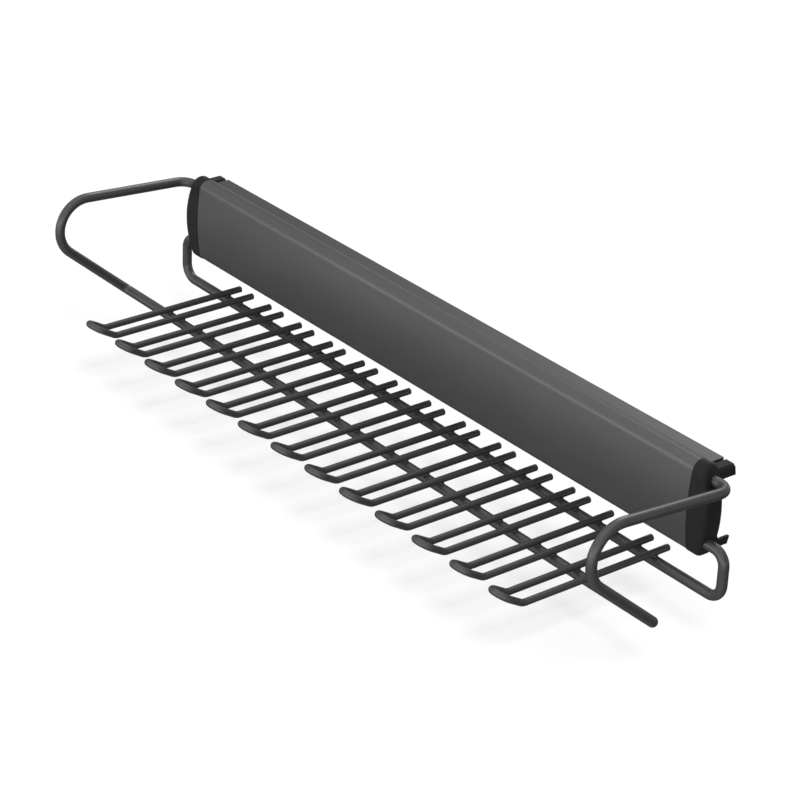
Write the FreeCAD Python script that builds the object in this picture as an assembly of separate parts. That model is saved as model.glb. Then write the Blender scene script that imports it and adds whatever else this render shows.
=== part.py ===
import FreeCAD, Part
import math
import os

# Pull-out tie rack: thirteen hairpin fingers on two bent wire frames, hung from a grey
# extruded housing that runs on a hidden two-member ball slide screwed to a wardrobe wall.
# Millimetres. The origin is the middle of the fixed rail's wall face. +X is the way the
# rack pulls out, +Y points into the wall and +Z is up, so the fingers point towards -Y.

# Clearances
running_gap = 0.4        # between the fixed rail and what passes over it
stop_gap = 0.3           # left at the closing and opening stops
slip = 0.1               # radial play of wires and balls in their holes and races

# Hairpin fingers
finger_wire = 3.175
finger_count = 13
finger_pitch = 25.4
finger_spread = 10.3     # between the two legs of a hairpin
finger_axis_z = -31.45
finger_rear_y = -9.4
finger_end_round = 0.4
finger_bend_y = -88.4    # where the tip starts to turn up
tip_bend = 5.4
tip_angle = 30.0
tip_rise = 6.05

# Housing extrusion
housing_overhang = 26.05  # past the middle of the outer fingers
housing_front = 11.6     # the front face's bulge beyond the back of the web
housing_top = 21.65
housing_bottom = -20.25
front_radius = 112.0
front_middle = -0.4      # height of the front face's widest place
shoulder_radius = 4.75
shoulder_end = 57.0      # degrees up from +Y, where the shoulder runs out to the flange
bottom_radius = 3.0
skin_wall = 1.6
web_wall = 1.8
flange_wall = 1.5
flange_top = 18.7
flange_wall_gap = 2.6    # from the flanges' back edges to the wall
groove_radius = 4.0
groove_depth = 0.07
groove_angles = (48.0, 87.0)  # degrees round the shoulder from the front

# Ball slide, a 27 mm drawer runner
rail_end_gap = 3.45      # from the housing's ends
rail_overlap = 100.0     # left between the two rails at full travel
rail_height = 27.0
rail_depth = 9.4
rail_sheet = 1.2
rail_corner = 1.5        # outside radius at the wall face
ball_radius = 2.0
ball_pitch = 10.5
cage_end_land = 8.0      # from the cage's ends to its outer balls, at least
cage_sheet = 0.6
cage_wall_gap = 0.4
cage_lip = 1.3           # how far the cage reaches in front of the ball centres
cage_rise = 1.0          # from the ball centres up to the middle of the cage's side
stop_lug_width = 2.6
stop_lug_inset = 5.5     # lug middle from the slide's centre line
wall_hole_radius = 2.25
wall_hole_gap = 8.3      # from the bumper to the first wall hole
wall_hole_pitch = 64.0
wall_hole_count = 4
bumper_length = 6.7
bumper_height = 13.0
bumper_depth = 7.4
bumper_round = 1.5

# End caps
cap_thickness = 10.75    # at mid-height
cap_crown = 54.0         # radius of the end face, which bulges at mid-height
cap_proud = 0.3
cap_edge = 2.6
cap_heel = 3.6           # round at the lower back corner
cap_back_inset = 0.8     # from the back of the housing's web
upper_arm_rise = 0.4     # above the fixed rail
upper_arm_top = 18.9
upper_arm_end = 2.5      # from the wall
upper_arm_lean = 0.75
upper_arm_bevel = 1.2
upper_arm_gap = 0.9      # from the housing's end
upper_arm_inset = 3.2    # from the end face's highest place
lower_arm_drop = 0.7     # below the fixed rail
lower_arm_bottom = -17.6
lower_arm_end = 3.6      # from the wall
lower_arm_slant = 1.0
lower_arm_fillet = 2.0   # in the corner between the arm and the cap's back
lower_arm_width = 1.4
lower_arm_inset = 2.6
arm_root = 3.5           # how far the arms run into the cap
spigot_length = 12.0
spigot_wall = 1.8
spigot_gap = 0.25

# Screws that hold the inner rail to the housing's web
screw_radius = 2.0
screw_slip = 0.05
screw_head_radius = 3.5
screw_head_height = 2.0
screw_head_round = 1.2
screw_past_web = 1.5
screw_cross_span = 3.4
screw_cross_width = 0.9
screw_cross_depth = 1.1
screw_count = 4
screw_spigot_gap = 16.45  # from the spigots to the end screws

# Bent wire frames
frame_wire = 4.7625
wire_hold = 12.0         # length of each wire end inside the housing
boss_wall = 1.6
upper_hole_behind = 6.33  # behind the front face's widest place
upper_hole_below = 6.64  # below the housing's top
lower_hole_behind = 4.5
lower_hole_above = 6.65  # above the housing's bottom
loop_stub = 7.35         # from the caps to the side loops
loop_y = -74.7
loop_z = 4.25
loop_radius = 15.0
upright_stub = 6.7       # from the caps to the rear uprights
rear_frame_shift = 2.1   # the rear wire sits this far to the right
front_rail_y = -51.6
rear_rail_y = -17.2
stub_bend_upper = 6.8
stub_bend_lower = 6.2
rail_bend_front = 4.5
rail_bend_rear = 7.2

# Places worked out from the sizes above
half_housing = (finger_count - 1) / 2 * finger_pitch + housing_overhang
half_rail = half_housing - rail_end_gap
travel = 2 * half_rail - rail_overlap
half_height = rail_height / 2
web_back = -(rail_depth + running_gap)
web_front = web_back - web_wall
front_face = web_back - housing_front
cap_face = half_housing + cap_thickness
cap_back = web_back - cap_back_inset
race = ball_radius + slip
race_outside = race + rail_sheet
ball_y = race_outside - rail_depth
ball_z = half_height - race_outside
inner_start = bumper_length + stop_gap - half_rail
cage_start = inner_start + rail_sheet + stop_gap + travel / 2
cage_end = half_rail - rail_sheet - stop_gap - travel / 2
cage_front = -(rail_sheet + cage_wall_gap)
balls_per_row = int((cage_end - cage_start - 2 * cage_end_land) / ball_pitch) + 1
rail_axis_z = finger_axis_z - (frame_wire + finger_wire) / 2
wire_bore = frame_wire / 2 + slip
boss_radius = wire_bore + boss_wall
upper_hole_y = front_face + upper_hole_behind
upper_hole_z = housing_top - upper_hole_below
lower_hole_y = front_face + lower_hole_behind
lower_hole_z = housing_bottom + lower_hole_above
TINY = 1e-6
UP = FreeCAD.Vector(0, 0, 1)
ALONG = FreeCAD.Vector(1, 0, 0)


def at(y, z, x=0.0):
    """A point of the cross-section that stands at x along the rack."""
    return FreeCAD.Vector(x, y, z)


def turn(centre, radius, start, end):
    """An arc of a cross-section between two angles, in degrees from +Y towards +Z."""
    def spot(angle):
        a = math.radians(angle)
        return centre + at(radius * math.cos(a), radius * math.sin(a))
    return Part.Arc(spot(start), spot((start + end) / 2), spot(end)).toShape()


def line(a, b):
    """A straight edge."""
    return Part.LineSegment(a, b).toShape()


def outline(*items):
    """A closed face through points and arcs in order, with straight edges between them."""
    ends = []
    for item in items:
        spots = [item] if isinstance(item, FreeCAD.Vector) else [v.Point for v in item.Vertexes]
        ends.append((spots[0], spots[-1]))
    edges = []
    for index, item in enumerate(items):
        if not isinstance(item, FreeCAD.Vector):
            edges.append(item)
        here = ends[index][1]
        there = ends[(index + 1) % len(items)][0]
        if here.distanceToPoint(there) > TINY:
            edges.append(line(here, there))
    return Part.Face(Part.Wire(edges))


def along(face, start, end):
    """A cross-section carried along the rack from start to end."""
    placed = face.translated(ALONG * start)
    return placed.extrude(ALONG * (end - start))


def block(low, high):
    """A box between two corners."""
    size = high - low
    return Part.makeBox(size.x, size.y, size.z, low)


def rod(radius, start, end):
    """A round bar between two points."""
    return Part.makeCylinder(radius, start.distanceToPoint(end), start, end - start)


def mirrored(shape, normal):
    """The mirror image about the plane through the origin with this normal."""
    return shape.mirror(FreeCAD.Vector(0, 0, 0), normal)


def bent_wire(diameter, corners):
    """A round wire along straight runs, with an arc of the given radius at each inner corner."""
    edges = []
    here = corners[0][0]
    for before, corner, after in zip(corners, corners[1:], corners[2:]):
        point, radius = corner
        into = (point - before[0]).normalize()
        out = (after[0] - point).normalize()
        half = into.getAngle(out) / 2
        setback = radius * math.tan(half)
        start = point - into * setback
        end = point + out * setback
        inwards = (out - into).normalize()
        middle = point + inwards * (radius / math.cos(half) - radius)
        if here.distanceToPoint(start) > TINY:
            edges.append(line(here, start))
        edges.append(Part.Arc(start, middle, end).toShape())
        here = end
    edges.append(line(here, corners[-1][0]))
    path = Part.Wire(edges)
    heading = corners[1][0] - corners[0][0]
    ring = Part.Wire(Part.Circle(corners[0][0], heading, diameter / 2).toShape())
    return path.makePipeShell([ring], True, False)


def stop_lugs(x, y_from, y_to):
    """The pair of bent lugs, one sheet thick, that a rail carries at one end."""
    lugs = []
    for side in (-1, 1):
        z = side * stop_lug_inset
        low = FreeCAD.Vector(x, min(y_from, y_to), z - stop_lug_width / 2)
        high = FreeCAD.Vector(x + rail_sheet, max(y_from, y_to), z + stop_lug_width / 2)
        lugs.append(block(low, high))
    return lugs


def fixed_rail():
    """Rolled channel whose lips hook over the balls from the front. Its lugs stop the cage."""
    ball = at(ball_y, ball_z)
    half = outline(
        at(0, 0),
        turn(at(-rail_corner, half_height - rail_corner), rail_corner, 0, 90),
        turn(ball, race_outside, 90, 180),
        turn(ball, race, 180, 90),
        at(-rail_sheet, half_height - rail_sheet),
        at(-rail_sheet, 0),
    )
    upper = along(half, -half_rail, half_rail)
    lugs = stop_lugs(half_rail - rail_sheet, -rail_sheet, cage_front - cage_sheet)
    shape = upper.fuse([mirrored(upper, UP)] + lugs)
    first = bumper_length + wall_hole_gap - half_rail
    holes = []
    for index in range(wall_hole_count):
        x = first + index * wall_hole_pitch
        holes.append(rod(wall_hole_radius, at(0, 0, x), at(-rail_sheet, 0, x)))
    return shape.cut(holes).removeSplitter()


def inner_rail():
    """Rolled channel that hooks behind the balls. Its lugs catch the cage at full travel."""
    ball = at(ball_y, ball_z)
    web_inside = web_back + rail_sheet
    half = outline(
        at(web_back, 0),
        at(web_back, ball_z - race),
        turn(ball, race, 270, 360),
        turn(ball, race_outside, 360, 270),
        at(web_inside, ball_z - race_outside),
        at(web_inside, 0),
    )
    upper = along(half, inner_start, half_rail)
    lugs = stop_lugs(inner_start, web_inside, cage_front - cage_sheet / 2)
    shape = upper.fuse([mirrored(upper, UP)] + lugs)
    return shape.cut(screw_holes(web_back, web_inside)).removeSplitter()


def screw_places():
    """Where the inner rail's screws stand along the rack, evenly between the caps' spigots."""
    last = half_housing - spigot_length - screw_spigot_gap
    pitch = 2 * last / (screw_count - 1)
    return [index * pitch - last for index in range(screw_count)]


def screw_holes(y_from, y_to):
    """Round bars for the screw holes through one web."""
    return [rod(screw_radius + screw_slip, at(y_from, 0, x), at(y_to, 0, x)) for x in screw_places()]


def ball_places():
    """The ball centres of both rows."""
    middle = (cage_start + cage_end) / 2
    first = middle - (balls_per_row - 1) / 2 * ball_pitch
    row = [first + index * ball_pitch for index in range(balls_per_row)]
    return [at(ball_y, side * ball_z, x) for side in (-1, 1) for x in row]


def ball_retainer():
    """Pressed strip with a pocket for each ball, which rolls at half the carriage's speed."""
    side_top = ball_z + cage_rise + cage_sheet / 2
    tip = ball_y - cage_lip
    channel = outline(
        at(cage_front, -side_top),
        at(cage_front, side_top),
        at(tip, side_top),
        at(tip, side_top - cage_sheet),
        at(cage_front - cage_sheet, side_top - cage_sheet),
        at(cage_front - cage_sheet, cage_sheet - side_top),
        at(tip, cage_sheet - side_top),
        at(tip, -side_top),
    )
    widest = math.sqrt(ball_radius ** 2 - (cage_rise - cage_sheet / 2) ** 2)
    pockets = []
    for centre in ball_places():
        outwards = UP * math.copysign(cage_rise + cage_sheet, centre.z)
        pockets.append(rod(widest + slip, centre, centre + outwards))
    return along(channel, cage_start, cage_end).cut(pockets)


def bearing_balls():
    """Two rows of steel balls."""
    return Part.makeCompound([Part.makeSphere(ball_radius, centre) for centre in ball_places()])


def closing_bumper():
    """Moulded rubber block in the fixed rail's rear end, which the inner rail closes against."""
    low = FreeCAD.Vector(-half_rail, -rail_sheet - bumper_depth, -bumper_height / 2)
    high = FreeCAD.Vector(-half_rail + bumper_length, -rail_sheet, bumper_height / 2)
    shape = block(low, high)
    front = [e for e in shape.Edges if e.CenterOfMass.y < low.y + TINY]
    return shape.makeFillet(bumper_round, front)


# The housing and both caps share one outline, made of arcs about the same three centres
front_centre = at(front_face + front_radius, front_middle)


def inside_front(z, radius):
    """The centre, at height z, of a corner of this radius that runs smoothly into the front face."""
    reach = math.sqrt((front_radius - radius) ** 2 - (z - front_middle) ** 2)
    return at(front_centre.y - reach, z)


shoulder_centre = inside_front(housing_top - shoulder_radius, shoulder_radius)
bottom_centre = inside_front(housing_bottom + bottom_radius, bottom_radius)


def skin(offset, shoulder_stop):
    """Bottom corner, bulged front and top shoulder of the outline, moved out by an offset."""
    def bearing(centre):
        ray = centre - front_centre
        return math.degrees(math.atan2(ray.z, ray.y)) % 360
    low = bearing(bottom_centre)
    high = bearing(shoulder_centre)
    return [
        turn(bottom_centre, bottom_radius + offset, 270, low),
        turn(front_centre, front_radius + offset, low, high),
        turn(shoulder_centre, shoulder_radius + offset, high, shoulder_stop),
    ]


def fall_line(offset):
    """Where the straight fall behind the shoulder starts, and its drop for each millimetre of y."""
    a = math.radians(shoulder_end)
    start = shoulder_centre + at(math.cos(a), math.sin(a)) * (shoulder_radius + offset)
    return start, 1 / math.tan(a)


def fall_height(offset, y):
    """Height of the fall at y."""
    start, drop = fall_line(offset)
    return start.z - (y - start.y) * drop


def fall_end(offset, z):
    """Where the fall comes down to z."""
    start, drop = fall_line(offset)
    return start.y + (start.z - z) / drop


def wire_lines(start, end, radius):
    """Round bars on the axes of the upper and lower wire holes."""
    places = ((upper_hole_y, upper_hole_z), (lower_hole_y, lower_hole_z))
    return [rod(radius, at(y, z, start), at(y, z, end)) for y, z in places]


def housing():
    """Extrusion with a closed front chamber, two channels for the wires and flanges over the slide."""
    flange_back = -flange_wall_gap
    upper_under = flange_top - flange_wall
    lower_over = housing_bottom + flange_wall
    outside = outline(
        *skin(0, shoulder_end),
        at(fall_end(0, flange_top), flange_top),
        at(flange_back, flange_top),
        at(flange_back, upper_under),
        at(web_back, upper_under),
        at(web_back, lower_over),
        at(flange_back, lower_over),
        at(flange_back, housing_bottom),
    )
    chamber = outline(
        *skin(-skin_wall, shoulder_end),
        at(web_front, fall_height(-skin_wall, web_front)),
        at(web_front, housing_bottom + skin_wall),
    )
    body = along(outside, -half_housing, half_housing)
    bosses = [b.common(body) for b in wire_lines(-half_housing, half_housing, boss_radius)]
    shape = body.cut(along(chamber, -half_housing, half_housing)).fuse(bosses)
    cuts = wire_lines(-half_housing, half_housing, wire_bore) + screw_holes(web_back, web_front)
    reach = shoulder_radius + groove_radius - groove_depth
    for angle in groove_angles:
        a = math.radians(angle)
        spot = shoulder_centre + at(-math.cos(a), math.sin(a)) * reach
        cuts.append(rod(groove_radius, spot - ALONG * half_housing, spot + ALONG * half_housing))
    return shape.cut(cuts).removeSplitter()


def cap_plate():
    """The cap's body: the housing's outline a little larger, with a crowned end and round edges."""
    floor = housing_bottom - cap_proud
    roof = housing_top + cap_proud
    back_round = cap_back - shoulder_centre.y
    face = outline(
        *skin(cap_proud, 90),
        turn(at(shoulder_centre.y, roof - back_round), back_round, 90, 0),
        turn(at(cap_back - cap_heel, floor + cap_heel), cap_heel, 0, -90),
    )
    x = cap_face - cap_crown
    crown = rod(cap_crown, at(front_face - cap_proud, 0, x), at(0, 0, x))
    plate = along(face, half_housing, cap_face).common(crown)
    end_face = max(plate.Faces, key=lambda f: f.CenterOfMass.x)
    return plate.makeFillet(cap_edge, end_face.Edges)


def cap_arms():
    """Two arms that reach back past the fixed rail: a bevelled block above and a thin hook below."""
    root = cap_back - arm_root
    upper_low = half_height + upper_arm_rise
    lower_high = -half_height - lower_arm_drop
    upper_face = outline(
        at(root, upper_low),
        at(-upper_arm_end, upper_low),
        at(-upper_arm_end - upper_arm_lean, upper_arm_top),
        at(root, upper_arm_top),
    )
    corner = at(cap_back + lower_arm_fillet, lower_high + lower_arm_fillet)
    lower_face = outline(
        at(root, corner.z),
        turn(corner, lower_arm_fillet, 180, 270),
        at(-lower_arm_end, lower_high),
        at(-lower_arm_end - lower_arm_slant, lower_arm_bottom),
        at(root, lower_arm_bottom),
    )
    lower_outside = cap_face - lower_arm_inset
    upper = along(upper_face, half_housing + upper_arm_gap, cap_face - upper_arm_inset)
    lower = along(lower_face, lower_outside - lower_arm_width, lower_outside)
    top = [e for e in upper.Edges if e.BoundBox.ZMin > upper_arm_top - TINY and e.BoundBox.XLength < TINY]
    return [upper.makeChamfer(upper_arm_bevel, top), lower]


def cap_spigot():
    """Thin-walled box that the cap pushes into the housing's chamber, between the wire channels."""
    high_z = upper_hole_z - boss_radius - spigot_gap
    low_z = lower_hole_z + boss_radius + spigot_gap
    reach = max(high_z - front_middle, front_middle - low_z)
    front_y = inside_front(front_middle + reach, skin_wall).y + spigot_gap
    low = FreeCAD.Vector(half_housing - spigot_length, front_y, low_z)
    high = FreeCAD.Vector(half_housing, web_front - spigot_gap, high_z)
    inset = FreeCAD.Vector(0, spigot_wall, spigot_wall)
    return block(low, high).cut(block(low + inset, high - inset))


def right_end_cap():
    """Moulded cap: plate, arms and spigot in one, with holes for the two wires."""
    shape = cap_plate().fuse(cap_arms() + [cap_spigot()])
    return shape.cut(wire_lines(half_housing, cap_face, wire_bore)).removeSplitter()


def rail_screws():
    """Pan head screws through the inner rail's web into the housing's web."""
    under_head = web_back + rail_sheet
    head_top = under_head + screw_head_height
    head = rod(screw_head_radius, at(under_head, 0), at(head_top, 0))
    rim = [e for e in head.Edges if abs(e.CenterOfMass.y - head_top) < TINY]
    head = head.makeFillet(screw_head_round, rim)
    shank = rod(screw_radius, at(under_head, 0), at(web_front - screw_past_web, 0))
    slot = FreeCAD.Vector(screw_cross_span / 2, 0, screw_cross_width / 2)
    bottom = at(head_top - screw_cross_depth, 0)
    cross = block(bottom - slot, at(head_top, 0) + slot)
    upright = cross.rotated(FreeCAD.Vector(0, 0, 0), FreeCAD.Vector(0, 1, 0), 90)
    screw = head.fuse(shank).cut([cross, upright]).removeSplitter()
    return Part.makeCompound([screw.translated(ALONG * x) for x in screw_places()])


def tangent_point(outside, centre, radius, side):
    """Where a straight line from a point outside a circle touches it, in the loops' upright plane."""
    ray = outside - centre
    angle = math.atan2(ray.z, ray.y) + side * math.acos(radius / ray.Length)
    return centre + at(math.cos(angle), math.sin(angle)) * radius


def both_sides(corners):
    """The corners from the right-hand wire end to the middle, then their mirror images back."""
    back = [(FreeCAD.Vector(-p.x, p.y, p.z), r) for p, r in reversed(corners)]
    return corners + back


def front_frame():
    """One wire: out of the right cap, round the side loop, along under the fingers and back."""
    side = cap_face + loop_stub
    hole = at(upper_hole_y, upper_hole_z, side)
    corner = at(front_rail_y, rail_axis_z, side)
    centre = at(loop_y, loop_z, side)
    upper = tangent_point(hole, centre, loop_radius, 1) - centre
    lower = tangent_point(corner, centre, loop_radius, -1) - centre
    crown = centre + (upper + lower) * (1 / (1 + math.cos(upper.getAngle(lower))))
    return bent_wire(frame_wire, both_sides([
        (at(upper_hole_y, upper_hole_z, half_housing - wire_hold), 0),
        (hole, stub_bend_upper),
        (crown, loop_radius),
        (corner, rail_bend_front),
    ]))


def rear_frame():
    """One wire: out of the right cap, down, along under the fingers and up to the left cap."""
    side = cap_face + upright_stub
    wire = bent_wire(frame_wire, both_sides([
        (at(lower_hole_y, lower_hole_z, half_housing - wire_hold), 0),
        (at(lower_hole_y, lower_hole_z, side), stub_bend_lower),
        (at(rear_rail_y, rail_axis_z, side), rail_bend_rear),
    ]))
    return wire.translated(ALONG * rear_frame_shift)


def finger(x):
    """A hairpin lying across both rails, with its closed end turned up."""
    a = math.radians(tip_angle)
    corner_y = finger_bend_y - tip_bend * math.tan(a / 2)
    tip_y = corner_y - tip_rise / math.tan(a)
    half = finger_spread / 2
    leg = [
        (at(finger_rear_y, finger_axis_z, half), 0),
        (at(corner_y, finger_axis_z, half), tip_bend),
        (at(tip_y, finger_axis_z + tip_rise, half), half),
    ]
    wire = bent_wire(finger_wire, both_sides(leg))
    ends = [e for e in wire.Edges if e.BoundBox.YMin > finger_rear_y - TINY]
    return wire.makeFillet(finger_end_round, ends).translated(ALONG * x)


os.makedirs("parts", exist_ok=True)
pieces = {
    "fixed_rail": fixed_rail(),
    "closing_bumper": closing_bumper(),
    "ball_retainer": ball_retainer(),
    "bearing_balls": bearing_balls(),
    "inner_rail": inner_rail(),
    "rail_screws": rail_screws(),
    "housing": housing(),
    "right_end_cap": right_end_cap(),
    "left_end_cap": mirrored(right_end_cap(), ALONG),
    "front_frame": front_frame(),
    "rear_frame": rear_frame(),
}
for index in range(finger_count):
    offset = (index - (finger_count - 1) / 2) * finger_pitch
    pieces["finger_%02d" % (index + 1)] = finger(offset)
for name, shape in pieces.items():
    shape.exportStep("parts/%s.step" % name)
    size = shape.BoundBox
    print("%-16s %2d solids, valid %s" % (name, len(shape.Solids), shape.isValid()))
    print("    %.2f x %.2f x %.2f mm" % (size.XLength, size.YLength, size.ZLength))
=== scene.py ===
import math

import bpy
import numpy as np
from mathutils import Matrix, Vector


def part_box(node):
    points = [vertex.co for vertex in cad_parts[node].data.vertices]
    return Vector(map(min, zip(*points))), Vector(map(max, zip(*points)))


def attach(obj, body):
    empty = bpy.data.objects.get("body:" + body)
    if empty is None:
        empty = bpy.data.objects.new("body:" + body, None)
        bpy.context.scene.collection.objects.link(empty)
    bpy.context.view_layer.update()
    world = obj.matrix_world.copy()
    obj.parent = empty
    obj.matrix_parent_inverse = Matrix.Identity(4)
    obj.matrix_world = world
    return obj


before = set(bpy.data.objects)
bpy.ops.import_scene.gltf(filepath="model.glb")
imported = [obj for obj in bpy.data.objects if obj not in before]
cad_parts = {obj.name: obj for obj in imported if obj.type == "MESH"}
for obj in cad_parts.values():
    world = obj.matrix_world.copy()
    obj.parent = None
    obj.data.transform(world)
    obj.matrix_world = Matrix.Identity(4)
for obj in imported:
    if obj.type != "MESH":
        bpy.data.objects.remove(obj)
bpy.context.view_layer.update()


# Fixed rail: a channel rolled from zinc-plated steel strip and screwed to the wardrobe wall.
# The plating is bright and slightly cloudy, with faint lines along the rolling direction.
zinc_tones = ((0.60, 0.61, 0.62, 1.0), (0.47, 0.48, 0.50, 1.0))
zinc_roughness = (0.20, 0.46)
zinc_clouds_per_metre = 90.0
rolling_lines_per_metre = 900.0
rolling_line_height = 0.000005
line_squeeze = 0.01       # lines run this much more slowly along the rack than across it
line_noise = {"Detail": 3.0, "Roughness": 0.6}
cloud_noise = {"Detail": 2.0}
usual_noise = (0.3, 0.7)  # nearly all of a noise pattern lies between these values
cloud_share = 0.5         # how much of the streaks is clouds, the rest being lines
bare_metal = {"Metallic": 1.0}


def add_node(tree, kind, inputs=None, **properties):
    """One shader node, with its properties and its named input values set."""
    node = tree.nodes.new(kind)
    for name, value in properties.items():
        setattr(node, name, value)
    for name, value in (inputs or {}).items():
        node.inputs[name].default_value = value
    return node


def new_group(name, inputs, outputs):
    """An empty shader node group with float sockets: the group, its input node and its output node."""
    group = bpy.data.node_groups.new(name, "ShaderNodeTree")
    for label in inputs:
        group.interface.new_socket(name=label, in_out="INPUT", socket_type="NodeSocketFloat")
    for label in outputs:
        group.interface.new_socket(name=label, in_out="OUTPUT", socket_type="NodeSocketFloat")
    return group, add_node(group, "NodeGroupInput"), add_node(group, "NodeGroupOutput")


def drawn_lines_group():
    """Marks that rolling or extruding leaves along the rack: Lines is noise drawn out along X, and
    Streaks mixes it with clouds, a broad even noise. Both are spread out to run from 0 to 1."""
    group, given, made = new_group(
        "drawn_lines", ("Lines per metre", "Clouds per metre"), ("Lines", "Streaks"))
    place = add_node(group, "ShaderNodeTexCoord")
    drawn = add_node(group, "ShaderNodeMapping", {"Scale": (line_squeeze, 1.0, 1.0)})
    lines = add_node(group, "ShaderNodeTexNoise", line_noise)
    clouds = add_node(group, "ShaderNodeTexNoise", cloud_noise)
    usual = {"From Min": usual_noise[0], "From Max": usual_noise[1]}
    clear_lines = add_node(group, "ShaderNodeMapRange", usual)
    clear_clouds = add_node(group, "ShaderNodeMapRange", usual)
    streaks = add_node(group, "ShaderNodeMix", {"Factor": cloud_share})
    link = group.links.new
    link(place.outputs["Object"], drawn.inputs["Vector"])
    link(drawn.outputs["Vector"], lines.inputs["Vector"])
    link(given.outputs["Lines per metre"], lines.inputs["Scale"])
    link(place.outputs["Object"], clouds.inputs["Vector"])
    link(given.outputs["Clouds per metre"], clouds.inputs["Scale"])
    link(lines.outputs["Fac"], clear_lines.inputs["Value"])
    link(clouds.outputs["Fac"], clear_clouds.inputs["Value"])
    link(clear_lines.outputs["Result"], streaks.inputs["A"])
    link(clear_clouds.outputs["Result"], streaks.inputs["B"])
    link(clear_lines.outputs["Result"], made.inputs["Lines"])
    link(streaks.outputs["Result"], made.inputs["Streaks"])
    return group


drawn_lines = drawn_lines_group()


def finish_material(name, marks, relief_from, tone_from, tones, roughness, height, plain):
    """A finish from a group of marks: one mark blends two colour tones, another blends two
    roughness values and raises the surface by the height. Plain holds the shader's even values."""
    material = bpy.data.materials.new(name)
    material.use_nodes = True
    tree = material.node_tree
    shader = tree.nodes["Principled BSDF"]
    for label, value in plain.items():
        shader.inputs[label].default_value = value
    group, scales = marks
    mark = add_node(tree, "ShaderNodeGroup", node_tree=group)
    for label, scale in scales.items():
        mark.inputs[label].default_value = scale
    tone = add_node(tree, "ShaderNodeMix", data_type="RGBA")
    tone.inputs["A"].default_value, tone.inputs["B"].default_value = tones
    rough = add_node(tree, "ShaderNodeMapRange", {"To Min": roughness[0], "To Max": roughness[1]})
    relief = add_node(tree, "ShaderNodeBump", {"Distance": height})
    link = tree.links.new
    link(mark.outputs[tone_from], tone.inputs["Factor"])
    link(tone.outputs["Result"], shader.inputs["Base Color"])
    link(mark.outputs[relief_from], rough.inputs["Value"])
    link(rough.outputs["Result"], shader.inputs["Roughness"])
    link(mark.outputs[relief_from], relief.inputs["Height"])
    link(relief.outputs["Normal"], shader.inputs["Normal"])
    return material


def drawn_metal(name, tones, roughness, lines, clouds, height, plain):
    """Rolled or extruded metal: the streaks tint it and the lines roughen and raise it."""
    scales = {"Lines per metre": lines, "Clouds per metre": clouds}
    return finish_material(name, (drawn_lines, scales), "Lines", "Streaks", tones, roughness, height, plain)


def dress(material, *nodes):
    """Gives each of these carried-over pieces the material in place of its plain one."""
    for node in nodes:
        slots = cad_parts[node].data.materials
        slots.clear()
        slots.append(material)


zinc = drawn_metal(
    "zinc_plated_strip", zinc_tones, zinc_roughness,
    rolling_lines_per_metre, zinc_clouds_per_metre, rolling_line_height, bare_metal)
dress(zinc, "fixed_rail")


# Closing bumper: a black rubber block pressed into the fixed rail's rear end.
# Rubber from a mould is dull, with a fine even grain.
rubber_tones = ((0.018, 0.018, 0.018, 1.0), (0.028, 0.028, 0.027, 1.0))
rubber_roughness = (0.62, 0.78)
rubber_grains_per_metre = 3500.0
rubber_patches_per_metre = 120.0
rubber_grain_height = 0.00003
rubber_reflection = 0.35
grain_noise = {"Detail": 2.0, "Roughness": 0.55}
patch_noise = {"Detail": 3.0}


def moulded_grain_group():
    """The fine skin of a moulded or coated piece: Grain is a fine even noise, and Patches is a
    broad one. Both lie between 0 and 1."""
    group, given, made = new_group(
        "moulded_grain", ("Grains per metre", "Patches per metre"), ("Grain", "Patches"))
    place = add_node(group, "ShaderNodeTexCoord")
    grain = add_node(group, "ShaderNodeTexNoise", grain_noise)
    patches = add_node(group, "ShaderNodeTexNoise", patch_noise)
    link = group.links.new
    link(place.outputs["Object"], grain.inputs["Vector"])
    link(given.outputs["Grains per metre"], grain.inputs["Scale"])
    link(place.outputs["Object"], patches.inputs["Vector"])
    link(given.outputs["Patches per metre"], patches.inputs["Scale"])
    link(grain.outputs["Fac"], made.inputs["Grain"])
    link(patches.outputs["Fac"], made.inputs["Patches"])
    return group


moulded_grain = moulded_grain_group()


def grained_skin(name, tones, roughness, grains, patches, height, plain):
    """A moulded or coated skin: the patches tint it and the grain roughens and raises it."""
    scales = {"Grains per metre": grains, "Patches per metre": patches}
    return finish_material(name, (moulded_grain, scales), "Grain", "Patches", tones, roughness, height, plain)


rubber = grained_skin(
    "bumper_rubber", rubber_tones, rubber_roughness,
    rubber_grains_per_metre, rubber_patches_per_metre, rubber_grain_height,
    {"Specular IOR Level": rubber_reflection})
dress(rubber, "closing_bumper")


# Ball cage: a pressed strip of thinner plated steel, a little yellower than the rails, with
# two rows of hardened and polished balls in its pockets.
cage_tones = ((0.50, 0.48, 0.42, 1.0), (0.42, 0.40, 0.36, 1.0))
cage_roughness = (0.30, 0.44)
ball_tones = ((0.66, 0.66, 0.67, 1.0), (0.60, 0.60, 0.61, 1.0))
ball_roughness = (0.06, 0.16)
grease_films_per_metre = 420.0
grease_film_height = 0.000002

cage_steel = drawn_metal(
    "cage_steel", cage_tones, cage_roughness,
    rolling_lines_per_metre, zinc_clouds_per_metre, rolling_line_height, bare_metal)
dress(cage_steel, "ball_retainer")
ball_steel = grained_skin(
    "polished_ball_steel", ball_tones, ball_roughness,
    grease_films_per_metre, grease_films_per_metre, grease_film_height, bare_metal)
dress(ball_steel, "bearing_balls")


# Inner rail: the same plated strip as the fixed rail, rolled the other way round, and held to
# the housing by four pan head screws.
screw_tones = ((0.55, 0.55, 0.54, 1.0), (0.44, 0.44, 0.43, 1.0))
screw_roughness = (0.22, 0.34)
screw_grains_per_metre = 2200.0
screw_patches_per_metre = 300.0
screw_grain_height = 0.000008

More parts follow.
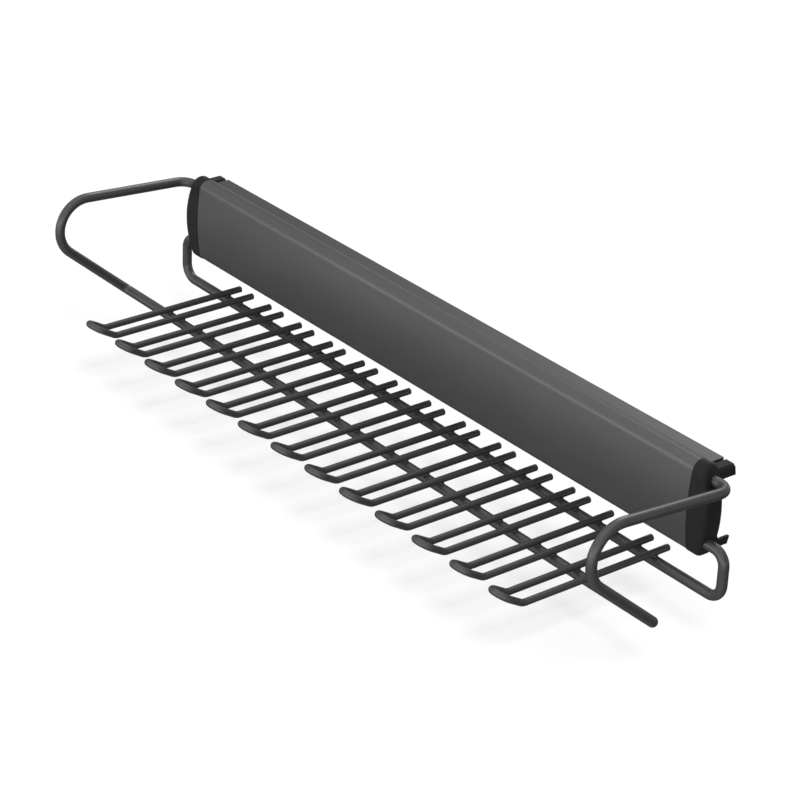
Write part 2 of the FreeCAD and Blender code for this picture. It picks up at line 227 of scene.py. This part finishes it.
dress(zinc, "inner_rail")
screw_steel = grained_skin(
    "screw_steel", screw_tones, screw_roughness,
    screw_grains_per_metre, screw_patches_per_metre, screw_grain_height, bare_metal)
dress(screw_steel, "rail_screws")


# Housing: an aluminium extrusion with a charcoal satin finish, bulged in front, with a rounded
# shoulder, two fine grooves and a flat flange behind. The die leaves faint lines along it.
charcoal_tones = ((0.133, 0.133, 0.133, 1.0), (0.122, 0.122, 0.122, 1.0))
charcoal_roughness = (0.34, 0.40)
charcoal_sheen = {"Metallic": 0.6, "Specular IOR Level": 0.1, "Specular Tint": (0.25, 0.25, 0.25, 1.0)}
die_lines_per_metre = 1300.0
die_line_height = 0.0000016
charcoal_clouds_per_metre = 22.0

charcoal = drawn_metal(
    "charcoal_extrusion", charcoal_tones, charcoal_roughness,
    die_lines_per_metre, charcoal_clouds_per_metre, die_line_height, charcoal_sheen)
dress(charcoal, "housing")


# End caps: black moulded plastic plugs with a fine spark-eroded skin. Each stands slightly
# proud of the housing and has two arms that reach back past the slide.
cap_tones = ((0.017, 0.017, 0.017, 1.0), (0.021, 0.021, 0.021, 1.0))
cap_roughness = (0.46, 0.60)
cap_reflection = 0.1
cap_grains_per_metre = 5200.0
cap_patches_per_metre = 160.0
cap_grain_height = 0.000025

cap_plastic = grained_skin(
    "black_cap_plastic", cap_tones, cap_roughness,
    cap_grains_per_metre, cap_patches_per_metre, cap_grain_height,
    {"Specular IOR Level": cap_reflection})
dress(cap_plastic, "right_end_cap", "left_end_cap")


# Wire frames: two bent steel wires, one with a loop at each side, both coated in a satin
# charcoal powder that flows into a very fine orange-peel skin.
coat_tones = ((0.104, 0.104, 0.104, 1.0), (0.097, 0.097, 0.097, 1.0))
coat_roughness = (0.30, 0.37)
coat_sheen = {"Metallic": 0.52, "Specular IOR Level": 0.1, "Specular Tint": (0.25, 0.25, 0.25, 1.0)}
coat_peel_per_metre = 1500.0
coat_patches_per_metre = 60.0
coat_peel_height = 0.000012

wire_coat = grained_skin(
    "charcoal_powder_coat", coat_tones, coat_roughness,
    coat_peel_per_metre, coat_patches_per_metre, coat_peel_height, coat_sheen)
dress(wire_coat, "front_frame", "rear_frame")


# Fingers: thirteen hairpins of thinner wire, coated like the frames. Each leg is resistance
# welded to both rails, and the squeezed metal leaves a small bead at every crossing.
leg_wire = 0.003175
rail_wire = 0.0047625
front_rail_middle = -0.0516   # how far the front frame's straight rail stands from the wall
bead_across = 0.0034
bead_rise = 0.0011
bead_sides = 10
bead_rings = 5

finger_names = sorted(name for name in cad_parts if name.startswith("finger_"))
dress(wire_coat, *finger_names)


def crossings():
    """The places where legs rest on rails: a leg's middle is half a wire in from the finger's
    side, the rear rail's middle is half a wire in from the rear frame's front edge, and the
    height is the underside of the legs."""
    boxes = np.array([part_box(name) for name in finger_names])
    legs = np.concatenate([boxes[:, 0, 0] + leg_wire / 2, boxes[:, 1, 0] - leg_wire / 2])
    rails = np.array([front_rail_middle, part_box("rear_frame")[0][1] + rail_wire / 2])
    grid = np.stack(np.meshgrid(legs, rails, indexing="ij"), axis=-1).reshape(-1, 2)
    heights = np.full((len(grid), 1), boxes[0, 0, 2])
    return np.hstack([grid, heights])


def bead_mesh(name, centres):
    """Closed flattened beads, one at every centre. A point at latitude a and turn t lies at
    (across/2 cos a cos t, across/2 cos a sin t, rise sin a), and a fan closes each pole."""
    latitude = np.linspace(-np.pi / 2, np.pi / 2, bead_rings + 2)[1:-1, None]
    turn = np.linspace(0, 2 * np.pi, bead_sides, endpoint=False)[None, :]
    ring = np.stack(np.broadcast_arrays(
        bead_across / 2 * np.cos(latitude) * np.cos(turn),
        bead_across / 2 * np.cos(latitude) * np.sin(turn),
        bead_rise * np.sin(latitude)), axis=-1).reshape(-1, 3)
    poles = np.array([(0, 0, -bead_rise), (0, 0, bead_rise)])
    bead = np.vstack([ring, poles])
    points = (centres[:, None, :] + bead[None]).reshape(-1, 3)
    corner = np.arange(bead_rings * bead_sides).reshape(bead_rings, bead_sides)
    after = np.roll(corner, -1, axis=1)
    walls = np.stack([corner[:-1], after[:-1], after[1:], corner[1:]], axis=-1).reshape(-1, 4)
    low, high = bead_rings * bead_sides, bead_rings * bead_sides + 1
    low_fan = np.stack([after[0], corner[0], np.full(bead_sides, low)], axis=-1)
    high_fan = np.stack([corner[-1], after[-1], np.full(bead_sides, high)], axis=-1)
    starts = np.arange(len(centres))[:, None, None] * len(bead)
    faces = []
    for part in (walls, low_fan, high_fan):
        faces += (part[None] + starts).reshape(-1, part.shape[1]).tolist()
    mesh = bpy.data.meshes.new(name)
    mesh.from_pydata(points.tolist(), [], faces)
    mesh.polygons.foreach_set("use_smooth", np.ones(len(mesh.polygons), dtype=bool))
    return mesh


beads = bpy.data.objects.new("weld_beads", bead_mesh("weld_beads", crossings()))
beads.data.materials.append(wire_coat)
bpy.context.scene.collection.objects.link(beads)
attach(beads, "carriage")


# Floor: a wide sheet of pale studio paper under the rack. Its own glow and the light on it come to
# white together, so only the wires' soft shadow shows. It is clear from below, and it neither
# lights the rack nor shows in its gloss.
floor_height = -0.060
floor_half = 6.0
white = (1.0, 1.0, 1.0, 1.0)
paper_finish = {
    "Base Color": (0.08, 0.08, 0.08, 1.0), "Roughness": 1.0, "Specular IOR Level": 0.0,
    "Emission Color": white, "Emission Strength": 0.608}

floor_mesh = bpy.data.meshes.new("floor")
floor_corners = floor_half * np.array([(-1, -1, 0), (1, -1, 0), (1, 1, 0), (-1, 1, 0)])
floor_corners[:, 2] = floor_height
floor_mesh.from_pydata(floor_corners.tolist(), [], [(0, 1, 2, 3)])
floor = bpy.data.objects.new("floor", floor_mesh)
bpy.context.scene.collection.objects.link(floor)
floor_paint = bpy.data.materials.new("floor_paint")
floor_paint.use_nodes = True
floor_tree = floor_paint.node_tree
paper = floor_tree.nodes["Principled BSDF"]
for label, value in paper_finish.items():
    paper.inputs[label].default_value = value
face_side = add_node(floor_tree, "ShaderNodeNewGeometry")
clear = add_node(floor_tree, "ShaderNodeBsdfTransparent")
one_sided = add_node(floor_tree, "ShaderNodeMixShader")
floor_tree.links.new(face_side.outputs["Backfacing"], one_sided.inputs["Fac"])
floor_tree.links.new(paper.outputs[0], one_sided.inputs[1])
floor_tree.links.new(clear.outputs[0], one_sided.inputs[2])
floor_tree.links.new(one_sided.outputs[0], floor_tree.nodes["Material Output"].inputs["Surface"])
floor_mesh.materials.append(floor_paint)
floor.visible_glossy = False
floor.visible_diffuse = False


# Sky light: soft light from all round, brightest in a band along the horizon that draws the long
# highlights on the wires. It falls off to the left and to the right rear. The camera sees white.
# Each level is a place, from 0 straight down to 1 straight up, with the brightness there.
sky_levels = (
    (0.0, 0.50), (0.12, 0.34), (0.19, 0.24), (0.28, 0.38), (0.37, 0.78), (0.47, 1.36), (0.51, 1.80),
    (0.54, 4.20), (0.57, 1.90), (0.61, 1.15), (0.69, 0.74), (0.80, 0.85), (0.87, 1.06), (1.0, 1.04))
left_start = (-0.58, 1.12)     # to the left of this X the light falls, from this share
left_edge = (-0.80, 0.58)      # and from this X on it has this share
dark_side = (0.77, 0.64, 0.0)  # the way to the right rear
dark_start = (0.15, 1.0)       # this far towards it the light starts to fall, from this share
dark_end = (0.85, 0.25)        # and this far it has this share

world = bpy.data.worlds.new("studio")
world.use_nodes = True
bpy.context.scene.world = world
sky = world.node_tree
backdrop = sky.nodes["Background"]
backdrop.inputs["Color"].default_value = white
direction = add_node(sky, "ShaderNodeTexCoord")
parts = add_node(sky, "ShaderNodeSeparateXYZ")
height = add_node(sky, "ShaderNodeMapRange", {"From Min": -1.0, "From Max": 1.0})
levels = add_node(sky, "ShaderNodeValToRGB")
light = add_node(sky, "ShaderNodeBackground")
rays = add_node(sky, "ShaderNodeLightPath")
choice = add_node(sky, "ShaderNodeMixShader")
brightest = max(level for place, level in sky_levels)
while len(levels.color_ramp.elements) < len(sky_levels):
    levels.color_ramp.elements.new(1.0)
for stop, (place, level) in zip(levels.color_ramp.elements, sky_levels):
    stop.position = place
    stop.color = (level / brightest,) * 3 + (1.0,)
slope = add_node(sky, "ShaderNodeMapRange", {
    "From Min": left_edge[0], "From Max": left_start[0],
    "To Min": left_edge[1] * brightest, "To Max": left_start[1] * brightest})
towards_dark = add_node(sky, "ShaderNodeVectorMath", {1: dark_side}, operation="DOT_PRODUCT")
fall = add_node(sky, "ShaderNodeMapRange", {
    "From Min": dark_start[0], "From Max": dark_end[0], "To Min": dark_start[1], "To Max": dark_end[1]})
strength = add_node(sky, "ShaderNodeMath", operation="MULTIPLY")
sky.links.new(direction.outputs["Generated"], parts.inputs[0])
sky.links.new(parts.outputs["Z"], height.inputs["Value"])
sky.links.new(height.outputs["Result"], levels.inputs["Fac"])
sky.links.new(levels.outputs["Color"], light.inputs["Color"])
sky.links.new(parts.outputs["X"], slope.inputs["Value"])
sky.links.new(direction.outputs["Generated"], towards_dark.inputs[0])
sky.links.new(towards_dark.outputs["Value"], fall.inputs["Value"])
sky.links.new(slope.outputs["Result"], strength.inputs[0])
sky.links.new(fall.outputs["Result"], strength.inputs[1])
sky.links.new(strength.outputs[0], light.inputs["Strength"])
sky.links.new(rays.outputs["Is Camera Ray"], choice.inputs["Fac"])
sky.links.new(light.outputs[0], choice.inputs[1])
sky.links.new(backdrop.outputs[0], choice.inputs[2])
sky.links.new(choice.outputs[0], sky.nodes["World Output"].inputs["Surface"])


# Lamps: a soft key lamp and a rim lamp stand high at the left rear, and the rim lamp lights only
# the two wire frames. Two more draw only the wires' soft shadow on the floor, one the fingers'
# and one the frames'.
key_place = (-1.1, 1.36, 1.32)
key_side = 0.5
key_watts = 3.2
rim_place = (-0.8, 1.3, 1.55)
rim_side = 0.8
rim_watts = 12.0
shade_place = (0.56, -0.24, 0.80)
finger_shade = 12.0      # strength of the lamp that draws the fingers' shadow
frame_shade = 5.0        # and of the one that draws the frames' shadow
shade_blur = 20.0        # degrees across both lamps


def add_lamp(name, kind, place, power, receivers=(), blockers=(), **settings):
    """A lamp that shines from its place towards the origin, in the wall's face behind the rack.
    Where receivers are given, it lights only them. Where blockers are given, only they shade it."""
    lamp = bpy.data.lights.new(name, kind)
    lamp.energy = power
    for label, value in settings.items():
        setattr(lamp, label, value)
    holder = bpy.data.objects.new(name, lamp)
    holder.location = place
    holder.rotation_euler = Vector(place).to_track_quat("Z", "Y").to_euler()
    bpy.context.scene.collection.objects.link(holder)
    for role, pieces in (("receiver", receivers), ("blocker", blockers)):
        if pieces:
            chosen = bpy.data.collections.new(name + "_" + role)
            for piece in pieces:
                chosen.objects.link(piece)
            setattr(holder.light_linking, role + "_collection", chosen)


frames = [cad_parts[node] for node in ("front_frame", "rear_frame")]
fingers = [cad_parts[node] for node in finger_names]
add_lamp("key", "AREA", key_place, key_watts, size=key_side)
add_lamp("rim", "AREA", rim_place, rim_watts, frames, size=rim_side)
blur = math.radians(shade_blur)
add_lamp("finger_shade", "SUN", shade_place, finger_shade, [floor], fingers, angle=blur)
add_lamp("frame_shade", "SUN", shade_place, frame_shade, [floor], frames, angle=blur)


# Camera: it looks down on the rack from the right front through a long lens. Its place, turn and
# lens were worked out from the straight wires in the photograph. Colours are shown unchanged.
camera_place = (0.90829, -0.75783, 0.56635)
camera_turn = (63.177, -1.726, 52.215)   # degrees about X, Y and Z
camera_lens = 128.82                     # millimetres, as is the sensor's width
sensor_width = 36.0

camera_data = bpy.data.cameras.new("camera")
camera_data.lens = camera_lens
camera_data.sensor_width = sensor_width
camera = bpy.data.objects.new("camera", camera_data)
camera.location = camera_place
camera.rotation_euler = [math.radians(angle) for angle in camera_turn]
bpy.context.scene.collection.objects.link(camera)
bpy.context.scene.camera = camera
bpy.context.scene.view_settings.view_transform = "Standard"
